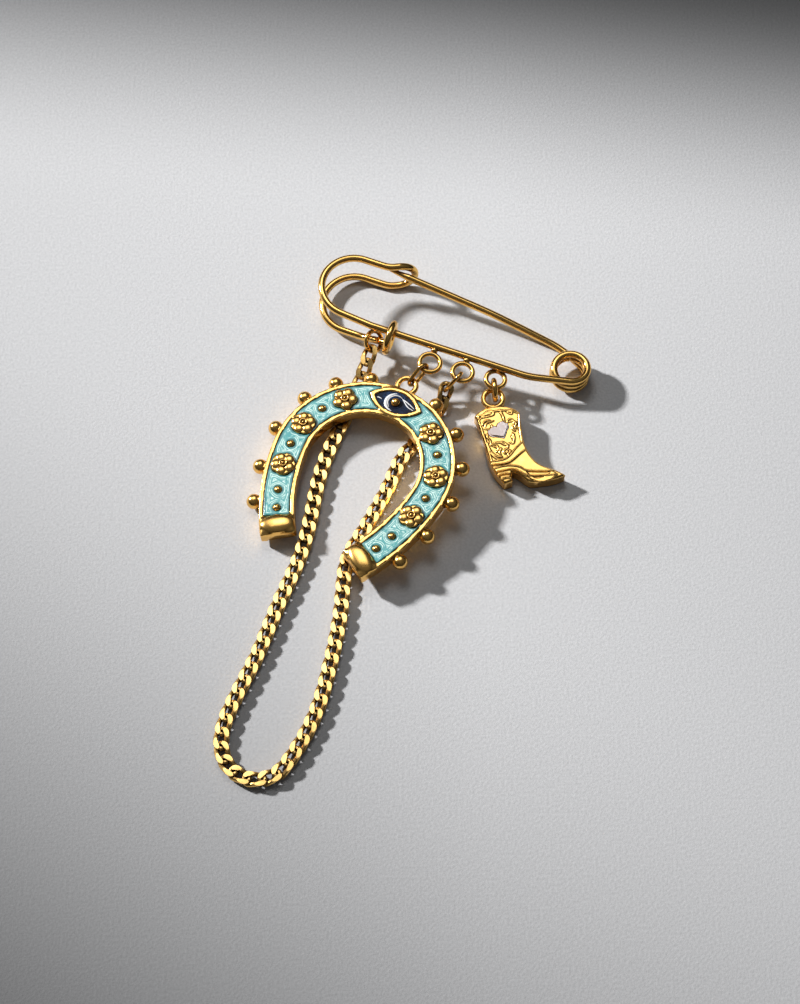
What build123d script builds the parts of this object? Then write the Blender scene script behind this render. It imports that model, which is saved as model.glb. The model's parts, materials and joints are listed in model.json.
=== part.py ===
from build123d import *
import os
from math import acos, asin, atan2, cos, radians, sin, sqrt, tan
from typing import NamedTuple

# Kilt-pin brooch with a horseshoe, a boot and a long loop of curb chain, lying on its back.
# Millimetres, +Z up, z = 0 is the surface it lies on, +X along the pin to its coil.

# Pin wire
wire_d = 1.8                 # the pin's wire
coil_radius = 4.05           # coil, to the middle of the wire
coil_pitch = 1.95            # rise of one turn
turn_corners = 8             # tangent arcs in one turn
frame_arcs = 12              # arcs of the coil that belong to the frame
tongue_arcs = 7              # arcs of the coil that belong to the tongue
split_gap = 0.3              # slit between the two, in the coil
bar_line = 6.32              # from the coil's axis to the bar, across
coil_lead = 9.0              # where the bar bends towards the coil
head_reach = 56.2            # coil axis to the middle of the round head
head_radius = 8.17           # round head, to the middle of the wire
head_centre = 2.54           # middle of the round head, across
bar_bend = 7.0               # from the head's middle to the bar's bend
head_gap = 8.5               # raised head wire above the floor wire
nose_bend = 6.08             # from the head's middle to the bend of the nose
nose_lead = 2.17             # from that bend to the nose's upright turn
nose_angle = 27.3            # the nose points this far outwards
tail_side = 1.95             # the floor wire's tail beside the bar, at its end
tail_drop = 2.15             # and under it
tail_end = 12.9              # from the head's middle to the tail's end
tail_mid = 5.1               # from the head's middle to the tail's bend

# Tongue
tongue_lead = 6.38           # tongue's line over the coil's axis, across
tongue_slack = 0.6           # between the tongue and the nose
tongue_drop = 2.2            # tongue under the bar's level, at the nose
tongue_bow = 0.55            # it bows outwards this much, half way
bow_radius = 150.0
lead_radius = 19.0           # bend between the coil and the tongue
point_length = 7.7
point_radius = 0.16

# Soldered rings under the bar
ring_wire = 1.2
solder_radius = 0.85


class Ring(NamedTuple):
    """One soldered ring: where it sits from the coil's axis and the bar, and its size."""

    place: float             # along the bar
    out: float               # from the bar's middle, across
    drop: float              # under the bar's middle
    radius: float            # to the middle of the wire


rings = {
    "first": Ring(place=32.55, out=4.5, drop=0.5, radius=2.5),
    "second": Ring(place=24.35, out=4.1, drop=0.6, radius=2.45),
    "third": Ring(place=16.35, out=2.6, drop=1.65, radius=2.3),
}

# Where it lies: the coil's axis and the turn of the pin
coil_x = 39.63
coil_y = 39.15
pin_turn = -18.25

# Links and jump rings
link_wire = 0.95
link_width = 3.5             # oval links, outside
link_roll = -74.0            # oval links stand almost on edge
link_play = 0.15             # between a link and what it holds
bar_ring_wire = 1.7
bar_ring_radius = 3.55
bar_ring_place = 12.3        # from the head's middle
chain_ring_wire = 1.1
chain_ring_radius = 2.5
chain_ring_at = Vector(-47.61, -7.92, -4.17)   # its middle, in the pin's plane
chain_ring_face = Vector(0.729, -0.193, 0.657)
chain_link_radius = 1.34     # the oval link of the chain, to the middle of its wire
chain_link_straight = 3.55
chain_link_from_ring = Vector(-2.293, -2.208, -0.914)
chain_link_along = Vector(-0.573, -0.278, -0.771)
chain_link_face = Vector(0.737, -0.587, -0.336)
boot_ring_wire = 1.2
boot_ring_radius = 2.45

# Horseshoe
shoe_thick = 3.2
shoe_radius = 18.15          # middle of the band, round the toe
shoe_arm_radius = 50.0       # middle of the band, along each arm
shoe_arm_start = 6.0         # the arm starts this far under the widest line, degrees
shoe_arm_sweep = 28.1
shoe_cap_sweep = 5.6         # of that, under the heel cap
shoe_band = 8.5
rim_width = 1.05
enamel_depth = 0.75          # recess under the rims
enamel_thick = 0.6
enamel_gap = 0.03
ball_radius = 1.85
ball_seat = 0.4              # ball sunk into the rim
ball_drop = 0.35             # under the middle of the horseshoe's thickness
flower_radius = 2.95
flower_rise = 0.35           # over the rims
dot_radius = 1.05
cap_rise = 0.5
cap_round = 0.8
eye_length = 13.8
eye_height = 7.3
eye_rim = 0.85
eye_rise = 0.25
pupil_radius = 1.15
loop_radius = 2.25
loop_wire = 1.35
loop_reach = 1.6             # loop's middle outside the rim
shoe_turn = -26.3
shoe_lean_x = 0.075          # rise of the plate along X and along Y
shoe_lean_y = 0.005
loop_from_ring = Vector(-5.6, -5.25, -2.2)     # horseshoe's loop from the first ring

# Stations along the middle of the band, from the toe, in millimetres
flower_stations = (12.5, 24.5, 36.4)
dot_stations = (18.5, 30.6, 43.2, 48.0)
right_ball_stations = (6.8, 14.1, 21.3, 28.6, 37.5, 45.6)
left_ball_stations = (6.8, 13.4, 19.8, 27.8, 37.1, 45.6)

# Boot, in its own plane: X along the sole from the heel's corner, Y up the shaft
boot_height = 20.6
boot_thick = 3.7
boot_edge = 0.4              # bevel round its face
boot_turn = 7.6
boot_lean = 0.04             # rise of the boot towards its top
boot_from_ring = Vector(-0.57, -4.3, -1.97)   # boot's loop from the third ring
boot_loop_x = 0.76
boot_loop_radius = 2.35
boot_loop_wire = 1.3
boot_loop_sink = 1.35        # loop's middle under the boot's face
relief_wire = 0.42           # raised lines on the boot
strap_rise = 0.2
stone_width = 5.0
stone_point = 4.6            # from the stone's middle height to its point
stone_depth = 0.7
stone_rise = 0.35
stone_gap = 0.04
stone_step = 0.35            # its raised middle is this much smaller all round

# Curb chain
chain_pitch = 3.521
chain_wire = 1.0
chain_half_length = 2.58     # of a link, to the middle of its wire
chain_half_width = 1.58
chain_twist = 56.0           # twist from a link's middle to its end
chain_cut = 2.4              # thickness across the flat cuts
chain_first_roll = -26.0     # the first link turns to hang from the oval link
chain_sections = 12
chain_sides = 6

# Chain route: the points it passes, from the second ring's link to the ring at the head
chain_route = (
    (9.05, 32.97, 3.66), (7.65, 29.87, 2), (5.35, 25.87, 1.25), (2.55, 21.37, 1.25), (-0.35, 17.87, 1.25),
    (-4.35, 9.27, 1.25), (-7.55, 2.47, 1.25), (-10.95, -4.03, 1.25), (-14.05, -10.33, 1.25),
    (-15.15, -17.13, 1.25), (-15.75, -24.73, 1.25), (-16.85, -32.03, 1.25), (-18.25, -39.03, 1.25),
    (-20.95, -49.33, 1.25), (-26.45, -60.73, 1.25), (-30.15, -65.03, 1.25), (-35.65, -66.13, 1.25),
    (-40.65, -63.13, 1.25), (-42.55, -57.73, 1.25), (-40.75, -48.83, 1.25), (-35.15, -36.03, 1.25),
    (-29.95, -21.73, 1.25), (-25.55, -10.33, 1.25), (-22.95, 0.87, 1.25), (-20.95, 11.87, 1.25),
    (-17.75, 21.27, 1.25), (-13.95, 30.27, 1.35), (-12.15, 35.4, 1.85), (-10.65, 39.35, 3.1),
    (-9.35, 43.17, 4.27),
)


def vec(x, y, z=0.0):
    """Short form of a vector."""
    return Vector(x, y, z)


wire_r = wire_d / 2
os.makedirs("parts", exist_ok=True)

# The pin's own plane: X from the head to the coil, Y across, away from the bar, Z up.
coil_drop = coil_pitch * (frame_arcs + tongue_arcs) / turn_corners
nose_start = head_reach - nose_bend - nose_lead
pin_tilt = asin((head_gap - coil_drop) / (nose_start + coil_radius / 2))
coil_z = coil_drop + wire_r + coil_radius * sin(pin_tilt) / 2
turn = radians(pin_turn)
pin_x = vec(cos(turn) * cos(pin_tilt), sin(turn) * cos(pin_tilt), -sin(pin_tilt))
pin_across = vec(-sin(turn), cos(turn))
pin_plane = Plane(origin=(coil_x, coil_y, coil_z), x_dir=pin_x, z_dir=pin_x.cross(pin_across))


def on_pin(point):
    """Point of the pin's plane in the part's frame."""
    return pin_plane.from_local_coords(point)


def tangent_angle(x, y, radius, side):
    """Polar angle where a line from (x, y) touches a circle about the origin."""
    return atan2(y, x) + side * acos(radius / sqrt(x * x + y * y))


# Coil: corners of a rising polygon round the coil's circle
arc_turn = radians(360 / turn_corners)
coil_start = tangent_angle(-coil_lead, -bar_line, coil_radius, 1)
corner_radius = coil_radius / cos(arc_turn / 2)
arc_fit = 0.98               # share of an edge that its arcs fill


def coil_corner(index):
    """Corner of the coil's polygon."""
    angle = coil_start + arc_turn * (index + 0.5)
    drop = -coil_pitch * (index + 0.5) / turn_corners
    return vec(corner_radius * cos(angle), corner_radius * sin(angle), drop)


def head_path(height, shift=0.0):
    """Corners of the round head and the nose's bend at a height, from the bar side on."""
    entry = tangent_angle(bar_bend, -bar_line - head_centre, head_radius, -1)
    sweep_each = (entry + radians(270)) / 3
    reach = head_radius / cos(sweep_each / 2)
    corners = []
    for index in range(3):
        angle = entry - sweep_each * (index + 0.5)
        across = head_centre + reach * sin(angle)
        corners.append(vec(shift - head_reach + reach * cos(angle), across, height))
    corners.append(vec(shift - head_reach + nose_bend, head_centre + head_radius, height))
    return corners


nose_radius = head_gap / 2
nose_dir = vec(cos(radians(nose_angle)), sin(radians(nose_angle)))
nose_root = vec(-head_reach + nose_bend, head_centre + head_radius) + nose_dir * nose_lead
nose_far = nose_root + nose_dir * nose_radius
plumb = head_gap * tan(pin_tilt)     # the floor wire lies plumb under the raised one
down = vec(plumb, 0, -head_gap)
coil_end = (coil_corner(frame_arcs - 1) + coil_corner(frame_arcs)) * 0.5
tail_tip = vec(-head_reach + tail_end, -bar_line - tail_side, -tail_drop)
tail_middle = vec(-head_reach + tail_mid, -bar_line + 0.1, -head_gap + 1.6)
frame_points = (
    [coil_end]
    + [coil_corner(index) for index in reversed(range(frame_arcs))]
    + [vec(-coil_lead, -bar_line), vec(-head_reach + bar_bend, -bar_line)]
    + head_path(0)
    + [nose_far, nose_far + down]
    + list(reversed(head_path(-head_gap, plumb)))
    + [tail_middle, tail_tip]
)
frame_radii = (
    [coil_radius * arc_fit] * frame_arcs
    + [coil_lead * 2, bar_bend]
    + [head_radius * arc_fit] * 3
    + [nose_bend]
    + [nose_radius * arc_fit] * 2
    + [nose_bend]
    + [head_radius * arc_fit] * 3
    + [bar_bend]
)

# Soldered rings: level with the pin's plane, just outside the bar
ring_centres = {name: vec(-ring.place, -bar_line - ring.out, -ring.drop) for name, ring in rings.items()}

with BuildPart() as pin_frame:
    with BuildLine() as frame_line:
        FilletPolyline(*[on_pin(point) for point in frame_points], radius=frame_radii)
    with BuildSketch(Plane(frame_line.line @ 0, z_dir=frame_line.line % 0)):
        Circle(wire_r)
    sweep(path=frame_line.line)
    for name, ring in rings.items():
        with Locations(pin_plane.location * Location(ring_centres[name])):
            Torus(ring.radius, ring_wire / 2)
        solder = vec(-ring.place, -bar_line + (ring.radius - ring.out) / 2, -ring.drop / 2)
        with Locations(pin_plane.location * Location(solder)):
            Sphere(solder_radius)
pin_frame.part.label = "pin_frame"
export_step(pin_frame.part, "parts/pin_frame.step")

# Tongue: the coil's lowest turn, a gentle lead and the straight pointed arm
tongue_first = frame_arcs + tongue_arcs - 1
exit_from = coil_corner(tongue_first)
exit_to = coil_corner(tongue_first + 1)
nose_point = nose_root + nose_dir * sqrt(nose_radius**2 - (nose_radius - tongue_drop) ** 2)
catch = vec(nose_point.X, nose_point.Y - wire_d - tongue_slack, -tongue_drop)
bow = vec(catch.X / 2, (catch.Y + tongue_lead) / 2 + tongue_bow, (-tongue_drop - coil_drop) / 2)
tongue_slope = (bow.Y - tongue_lead) / -bow.X
exit_dir = (exit_to - exit_from).normalized()
exit_run = (tongue_lead - tongue_slope * exit_from.X - exit_from.Y) / (exit_dir.Y + tongue_slope * exit_dir.X)
lead_corner = exit_from + exit_dir * exit_run
edge_dir = (coil_corner(frame_arcs) - coil_corner(frame_arcs - 1)).normalized()
tongue_start = coil_end + edge_dir * split_gap
tongue_points = (
    [tongue_start]
    + [coil_corner(index) for index in range(frame_arcs, tongue_first + 1)]
    + [lead_corner, bow, catch]
)
first_radius = (corner_radius * sin(arc_turn / 2) - split_gap) * arc_fit / tan(arc_turn / 2)
tongue_radii = [first_radius] + [coil_radius * arc_fit] * (tongue_arcs - 1) + [lead_radius, bow_radius]

with BuildPart() as pin_tongue:
    with BuildLine() as tongue_line:
        FilletPolyline(*[on_pin(point) for point in tongue_points], radius=tongue_radii)
    with BuildSketch(Plane(tongue_line.line @ 0, z_dir=tongue_line.line % 0)):
        Circle(wire_r)
    sweep(path=tongue_line.line)
    point_plane = Plane(tongue_line.line @ 1, z_dir=tongue_line.line % 1)
    with BuildSketch(point_plane):
        Circle(wire_r)
    with BuildSketch(point_plane.offset(point_length)):
        Circle(point_radius)
    loft()
pin_tongue.part.label = "pin_tongue"
export_step(pin_tongue.part, "parts/pin_tongue.step")

# Jump rings at the head: one round the bar and the tail, one threaded on the tail
bar_ring_x = -head_reach + bar_ring_place
tail_run = tail_tip - tail_middle


def on_tail(x):
    """Point of the tail's last run at a place along the bar."""
    return tail_middle + tail_run * ((x - tail_middle.X) / tail_run.X)


bar_point = vec(bar_ring_x, -bar_line)
bar_ring_centre = (bar_point + on_tail(bar_ring_x)) * 0.5
with BuildPart() as bar_ring:
    with Locations(pin_plane.location * Plane(bar_ring_centre, z_dir=(1, 0, 0)).location):
        Torus(bar_ring_radius, bar_ring_wire / 2)
bar_ring.part.label = "bar_ring"
export_step(bar_ring.part, "parts/bar_ring.step")

with BuildPart() as chain_ring:
    with Locations(pin_plane.location * Plane(chain_ring_at, z_dir=chain_ring_face).location):
        Torus(chain_ring_radius, chain_ring_wire / 2)
chain_ring.part.label = "chain_ring"
export_step(chain_ring.part, "parts/chain_ring.step")

# Horseshoe's plane: Y to its toe, Z out of its face, the origin in the middle of its thickness
shoe_z = vec(-shoe_lean_x, -shoe_lean_y, 1).normalized()
shoe_flat = vec(cos(radians(shoe_turn)), sin(radians(shoe_turn)))
shoe_x = (shoe_flat - shoe_z * shoe_flat.dot(shoe_z)).normalized()
loop_y = shoe_radius + shoe_band / 2 + loop_reach
first_ring = on_pin(ring_centres["first"])
loop_centre = first_ring + loop_from_ring
shoe_y = shoe_z.cross(shoe_x)
shoe_plane = Plane(origin=loop_centre - shoe_y * loop_y, x_dir=shoe_x, z_dir=shoe_z)

arm_start = radians(shoe_arm_start)
arm_centre = (shoe_radius - shoe_arm_radius) * vec(cos(arm_start), -sin(arm_start))
toe_length = shoe_radius * radians(90 + shoe_arm_start)


def on_band(station, offset=0.0):
    """Point of the right half of the band at a station along its middle."""
    if station <= toe_length:
        angle = radians(90) - station / shoe_radius
        radius = shoe_radius + offset
        return vec(radius * cos(angle), radius * sin(angle))
    angle = -arm_start - (station - toe_length) / shoe_arm_radius
    radius = shoe_arm_radius + offset
    return arm_centre + vec(radius * cos(angle), radius * sin(angle))


def on_sides(right, left, offset=0.0):
    """Points of the band at stations of its right and of its left half."""
    mirrored = [on_band(station, offset) for station in left]
    return [on_band(station, offset) for station in right] + [vec(-p.X, p.Y) for p in mirrored]


def band_face(margin, sweep_from, sweep_to):
    """Face of the band, narrowed by a margin, between two places along its arms.

    sweep_from is None for the whole band up to sweep_to.
    """
    outer = shoe_band / 2 - margin
    start = shoe_arm_start + (sweep_from or 0)
    span = sweep_to - (sweep_from or 0)
    with BuildSketch(Plane.XY) as band:
        with BuildLine():
            rim = CenterArc(arm_centre, shoe_arm_radius + outer, -start, -span)
            edge = CenterArc(arm_centre, shoe_arm_radius - outer, -start, -span)
            Line(rim @ 1, edge @ 1)
            Line(rim @ 0, edge @ 0)
        make_face()
        mirror(about=Plane.YZ)
        if sweep_from is None:
            spread = 180 + 2 * shoe_arm_start
            with BuildLine():
                rim = CenterArc((0, 0), shoe_radius + outer, -shoe_arm_start, spread)
                edge = CenterArc((0, 0), shoe_radius - outer, -shoe_arm_start, spread)
                Line(rim @ 1, edge @ 1)
                Line(rim @ 0, edge @ 0)
            make_face()
    return band.sketch_local


def eye_face(margin):
    """Face of the eye's almond, narrowed by a margin, on the middle of the toe."""
    half = eye_length / 2 - margin * 1.6
    rise = eye_height / 2 - margin
    with BuildSketch(Plane.XY) as eye:
        with BuildLine():
            ThreePointArc((-half, shoe_radius), (0, shoe_radius + rise), (half, shoe_radius))
            ThreePointArc((half, shoe_radius), (0, shoe_radius - rise), (-half, shoe_radius))
        make_face()
    return eye.sketch_local


def flower_face(margin):
    """Face of a five-petal flower grown by a margin, about the origin."""
    petal = flower_radius * 0.5
    with BuildSketch(Plane.XY) as flower:
        with PolarLocations(flower_radius - petal, 5, start_angle=90):
            Circle(petal + margin)
        Circle(petal * 1.1)
    return flower.sketch_local


half_thick = shoe_thick / 2
tray_floor = half_thick - enamel_depth
cap_from = shoe_arm_sweep - shoe_cap_sweep
flowers = on_sides(flower_stations, flower_stations)
dots = on_sides(dot_stations, dot_stations)
ball_line = shoe_band / 2 + ball_radius - ball_seat
balls = on_sides(right_ball_stations, left_ball_stations, ball_line)

with BuildPart() as horseshoe_body:
    with BuildSketch(shoe_plane.offset(-half_thick)):
        add(band_face(0, None, shoe_arm_sweep))
    extrude(amount=shoe_thick)
    with BuildSketch(shoe_plane.offset(tray_floor)):
        add(band_face(rim_width, None, cap_from))
    extrude(amount=enamel_depth, mode=Mode.SUBTRACT)
    with BuildSketch(shoe_plane.offset(tray_floor)):
        add(eye_face(0))
    extrude(amount=enamel_depth + eye_rise)
    with BuildSketch(shoe_plane.offset(tray_floor)):
        add(eye_face(eye_rim))
    extrude(amount=enamel_depth + eye_rise, mode=Mode.SUBTRACT)
    with BuildSketch(shoe_plane.offset(tray_floor)):
        with Locations(*flowers):
            add(flower_face(0))
    extrude(amount=enamel_depth + flower_rise)
    with Locations(*[shoe_plane.location * Location((p.X, p.Y, tray_floor)) for p in dots]):
        Sphere(dot_radius)
    with Locations(shoe_plane.location * Location((0, shoe_radius, tray_floor + pupil_radius / 2))):
        Sphere(pupil_radius)
    with Locations(*[shoe_plane.location * Location((p.X, p.Y, -ball_drop)) for p in balls]):
        Sphere(ball_radius)
    with Locations(shoe_plane.location * Location((0, loop_y, 0))):
        Torus(loop_radius, loop_wire / 2)
    with BuildSketch(shoe_plane.offset(half_thick)):
        add(band_face(rim_width / 2, cap_from, shoe_arm_sweep - 0.5))
    extrude(amount=cap_rise, taper=25)
horseshoe_body.part.label = "horseshoe_body"
export_step(horseshoe_body.part, "parts/horseshoe_body.step")

enamel_base = shoe_plane.offset(tray_floor + enamel_gap)
with BuildPart() as horseshoe_enamel:
    with BuildSketch(enamel_base):
        add(band_face(rim_width + enamel_gap, None, cap_from - 0.05))
    extrude(amount=enamel_thick)
    with BuildSketch(enamel_base):
        add(eye_face(-enamel_gap))
        with Locations(*flowers):
            add(flower_face(enamel_gap))
    extrude(amount=enamel_thick, mode=Mode.SUBTRACT)
    with Locations(*[shoe_plane.location * Location((p.X, p.Y, tray_floor)) for p in dots]):
        Sphere(dot_radius + enamel_gap, mode=Mode.SUBTRACT)
horseshoe_enamel.part.label = "horseshoe_enamel"
export_step(horseshoe_enamel.part, "parts/horseshoe_enamel.step")

with BuildPart() as eye_enamel:
    with BuildSketch(enamel_base):
        add(eye_face(eye_rim + enamel_gap))
    extrude(amount=enamel_thick)
    with Locations(shoe_plane.location * Location((0, shoe_radius, tray_floor + pupil_radius / 2))):
        Sphere(pupil_radius + enamel_gap, mode=Mode.SUBTRACT)
eye_enamel.part.label = "eye_enamel"
export_step(eye_enamel.part, "parts/eye_enamel.step")


def oval_link(plane, straight, centre_radius):
    """Oval link in a plane, its length along X, with straight sides of the length given."""
    with BuildPart() as link:
        with BuildLine(plane) as line:
            top = Line((-straight / 2, centre_radius), (straight / 2, centre_radius))
            JernArc(top @ 1, top % 1, centre_radius, -180)
            low = Line((straight / 2, -centre_radius), (-straight / 2, -centre_radius))
            JernArc(low @ 1, low % 1, centre_radius, -180)
        with BuildSketch(Plane(line.line @ 0, z_dir=line.line % 0)):
            Circle(link_wire / 2)
        sweep(path=line.line)
    return link.part


def ring_wire_point(name, towards):
    """Point in the middle of a soldered ring's wire, on the side towards a point."""
    centre = on_pin(ring_centres[name])
    normal = pin_plane.z_dir
    aim = towards - centre
    flat = (aim - normal * aim.dot(normal)).normalized()
    return centre + flat * rings[name].radius


# Link from the first ring to the horseshoe's loop
link_from = ring_wire_point("first", loop_centre)
to_ring = link_from - loop_centre
to_ring = (to_ring - shoe_z * to_ring.dot(shoe_z)).normalized()
link_to = loop_centre + to_ring * loop_radius
link_run = link_to - link_from
link_along = link_run.normalized()
link_middle = (link_from + link_to) * 0.5 + link_along * (loop_wire - ring_wire) / 4
link_side = link_along.cross(vec(0, 0, 1)).normalized()
link_face = link_side.cross(link_along).rotate(Axis((0, 0, 0), link_along), link_roll)
link_radius = (link_width - link_wire) / 2
link_inside = link_run.length + (ring_wire + loop_wire) / 2 + 2 * link_play
horseshoe_link = oval_link(
    Plane(link_middle, x_dir=link_along, z_dir=link_face), link_inside + link_wire - 2 * link_radius, link_radius
)
horseshoe_link.label = "horseshoe_link"
export_step(horseshoe_link, "parts/horseshoe_link.step")

# Curb chain: one twisted, flat-cut link, repeated along the route
def link_solid():
    """Faceted curb link about the origin, its length along X and its flat cuts up and down."""
    rings = []
    for index in range(chain_sections):
        t = radians(360 * (index + 0.5) / chain_sections)
        x = chain_half_length * cos(t)
        roll = -radians(chain_twist) * x / chain_half_length
        out = vec(0, cos(roll), sin(roll))
        up = vec(0, -sin(roll), cos(roll))
        centre = vec(x, 0, 0) + out * (chain_half_width * sin(t))
        outward = (vec(cos(t), 0, 0) + out * sin(t)).normalized()
        ring = []
        for side in range(chain_sides):
            angle = radians(360 * (side + 0.5) / chain_sides)
            point = centre + (outward * cos(angle) + up * sin(angle)) * (chain_wire / 2)
            ring.append(vec(point.X, point.Y, min(max(point.Z, -chain_cut / 2), chain_cut / 2)))
        rings.append(ring)
    faces = []
    for index, ring in enumerate(rings):
        after = rings[(index + 1) % chain_sections]
        for side in range(chain_sides):
            next_side = (side + 1) % chain_sides
            a, b = ring[side], ring[next_side]
            c, d = after[next_side], after[side]
            faces.append(Face(Wire.make_polygon([a, b, c])))
            faces.append(Face(Wire.make_polygon([a, c, d])))
    return Solid(Shell(faces))


def link_place(route, distance):
    """Location of a link at a distance along the route, face up but for the first few."""
    centre = route.position_at(distance, position_mode=PositionMode.LENGTH)
    along = route.tangent_at(distance, position_mode=PositionMode.LENGTH)
    side = vec(0, 0, 1).cross(along).normalized()
    roll = chain_first_roll * max(0, 1 - distance / chain_pitch / 2)
    face = along.cross(side).rotate(Axis((0, 0, 0), along), roll)
    return Plane(centre, x_dir=along, z_dir=face).location


chain_line = Spline(*chain_route)
chain_count = int(chain_line.length / chain_pitch) + 1
curb_link = link_solid()
chain_places = [link_place(chain_line, index * chain_pitch) for index in range(chain_count)]
chain_half = chain_count // 2
for name, places in (("chain_right", chain_places[:chain_half]), ("chain_left", chain_places[chain_half:])):
    with BuildPart() as chain:
        with Locations(*places):
            add(curb_link)
    chain.part.label = name
    export_step(chain.part, f"parts/{name}.step")

# Link from the second ring to the chain's first link
chain_link_middle = on_pin(ring_centres["second"]) + chain_link_from_ring
chain_link = oval_link(
    Plane(chain_link_middle, x_dir=chain_link_along, z_dir=chain_link_face), chain_link_straight, chain_link_radius
)
chain_link.label = "chain_link"
export_step(chain_link, "parts/chain_link.step")

# Boot's plane, its loop hung from the third ring
boot_slope = atan2(boot_lean, 1)
boot_z = vec(0, -sin(boot_slope), cos(boot_slope))
boot_flat = vec(cos(radians(boot_turn)), sin(radians(boot_turn)))
boot_x = (boot_flat - boot_z * boot_flat.dot(boot_z)).normalized()
boot_y = boot_z.cross(boot_x)
boot_loop = on_pin(ring_centres["third"]) + boot_from_ring
boot_loop_y = boot_height + boot_loop_radius + boot_loop_wire / 4
boot_origin = boot_loop - boot_x * boot_loop_x - boot_y * boot_loop_y + boot_z * boot_loop_sink
boot_plane = Plane(origin=boot_origin, x_dir=boot_x, z_dir=boot_z)

# Ring from the third soldered ring to the boot's loop
held_low = boot_loop + boot_y * boot_loop_radius
held_high = on_pin(ring_centres["third"]) - vec(0, rings["third"].radius)
boot_ring_centre = (held_low + held_high) * 0.5 + vec(0.2, -0.25, -0.1)
with BuildPart() as boot_ring:
    with Locations(Plane(boot_ring_centre, z_dir=(1, 0.08, 0)).location):
        Torus(boot_ring_radius, boot_ring_wire / 2)
boot_ring.part.label = "boot_ring"
export_step(boot_ring.part, "parts/boot_ring.step")

# Lines drawn on the boot, as shares of its height
boot_back = ((0.0, -0.005), (-0.07, 0.11), (-0.114, 0.215), (-0.147, 0.473), (-0.183, 0.792), (-0.22, 0.902))
boot_top = ((-0.22, 0.902), (-0.101, 0.983), (0.05, 1.003), (0.197, 0.977), (0.311, 0.886))
boot_front = ((0.311, 0.886), (0.301, 0.6), (0.329, 0.388), (0.453, 0.187), (0.612, 0.094), (0.714, 0.015))
boot_sole = ((0.714, 0.015), (0.6, -0.018), (0.405, -0.028), (0.301, -0.02), (0.2, 0.075), (0.115, 0.135))
boot_heel = ((0.115, 0.135), (0.09, 0.066), (0.1, 0.015), (0.0, -0.005))
strap_upper = ((0.286, 0.494), (0.207, 0.44), (0.136, 0.358), (0.069, 0.302), (-0.016, 0.287), (-0.121, 0.288))
strap_lower = ((0.312, 0.399), (0.229, 0.352), (0.135, 0.273), (0.072, 0.249), (-0.022, 0.242), (-0.115, 0.248))
welt_upper = ((-0.1, 0.194), (0.0, 0.214), (0.114, 0.211), (0.214, 0.178), (0.273, 0.106), (0.573, 0.079))
welt_lower = ((-0.071, 0.152), (0.025, 0.165), (0.13, 0.164), (0.194, 0.123), (0.29, 0.032), (0.62, 0.028))
scrolls = (
    ((-0.12, 0.535), (-0.104, 0.442), (-0.062, 0.371), (0.026, 0.333)),
    ((-0.09, 0.497), (-0.02, 0.49), (-0.005, 0.45), (-0.04, 0.405)),
    ((0.032, 0.528), (0.087, 0.501), (0.109, 0.453), (0.06, 0.415), (0.067, 0.367)),
    ((0.15, 0.77), (0.188, 0.81), (0.225, 0.765), (0.2, 0.71), (0.226, 0.646)),
    ((-0.172, 0.897), (-0.112, 0.909), (-0.047, 0.946), (-0.001, 0.93), (0.003, 0.887)),
    ((-0.14, 0.77), (-0.1, 0.825), (-0.05, 0.82)),
    ((0.077, 0.95), (0.103, 0.887), (0.115, 0.83)),
    ((0.18, 0.63), (0.2, 0.566), (0.175, 0.503)),
)
stone_middle = (0.042, 0.672)
stone_turn = 24.0


def share(points):
    """Points given as shares of the boot's height."""
    return [vec(x * boot_height, y * boot_height) for x, y in points]


def on_boot(points, rise=0.0):
    """Points given as shares of the boot's height, in the part's frame."""
    return [boot_plane.from_local_coords(point + vec(0, 0, rise)) for point in share(points)]


def strip_face(upper, lower):
    """Face between two drawn lines."""
    with BuildSketch(Plane.XY) as strip:
        with BuildLine():
            high = Spline(*share(upper))
            low = Spline(*share(lower))
            Line(high @ 1, low @ 1)
            Line(high @ 0, low @ 0)
        make_face()
    return strip.sketch_local


def heart_face(margin):
    """Face of the heart about the origin, grown by a margin, its point down."""
    lobe = stone_width / 4
    with BuildSketch(Plane.XY) as heart:
        with Locations((-lobe, lobe * 0.4), (lobe, lobe * 0.4)):
            Circle(lobe * 1.12 + margin)
        with BuildLine():
            Polyline(
                (-2.05 * lobe - margin, 0), (0, -stone_point / 2 - margin * 1.3),
                (2.05 * lobe + margin, 0), (0, lobe * 0.9), close=True,
            )
        make_face()
    return heart.sketch_local


stone_spot = share([stone_middle])[0]
stone_plane = boot_plane.location * Location((stone_spot.X, stone_spot.Y, 0), (0, 0, stone_turn))
with BuildPart() as boot_charm:
    with BuildSketch(boot_plane.offset(-boot_thick)):
        with BuildLine():
            Spline(*share(boot_back))
            Spline(*share(boot_top))
            Spline(*share(boot_front))
            Spline(*share(boot_sole))
            Polyline(*share(boot_heel))
        make_face()
    extrude(amount=boot_thick)
    chamfer(boot_charm.faces().sort_by(Axis((0, 0, 0), tuple(boot_z)))[-1].edges(), boot_edge)
    for upper, lower in ((strap_upper, strap_lower), (welt_upper, welt_lower)):
        with BuildSketch(boot_plane):
            add(strip_face(upper, lower))
        extrude(amount=strap_rise)
    for points in scrolls:
        with BuildLine():
            curl = Spline(*on_boot(points))
        with BuildSketch(Plane(curl @ 0, z_dir=curl % 0)):
            Circle(relief_wire / 2)
        sweep(path=curl)
    with Locations(boot_plane.location * Location((boot_loop_x, boot_loop_y, -boot_loop_sink))):
        Torus(boot_loop_radius, boot_loop_wire / 2)
    with BuildSketch(Plane(stone_plane).offset(-stone_depth)):
        add(heart_face(stone_gap))
    extrude(amount=stone_depth + 1, mode=Mode.SUBTRACT)
boot_charm.part.label = "boot_charm"
export_step(boot_charm.part, "parts/boot_charm.step")

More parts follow.
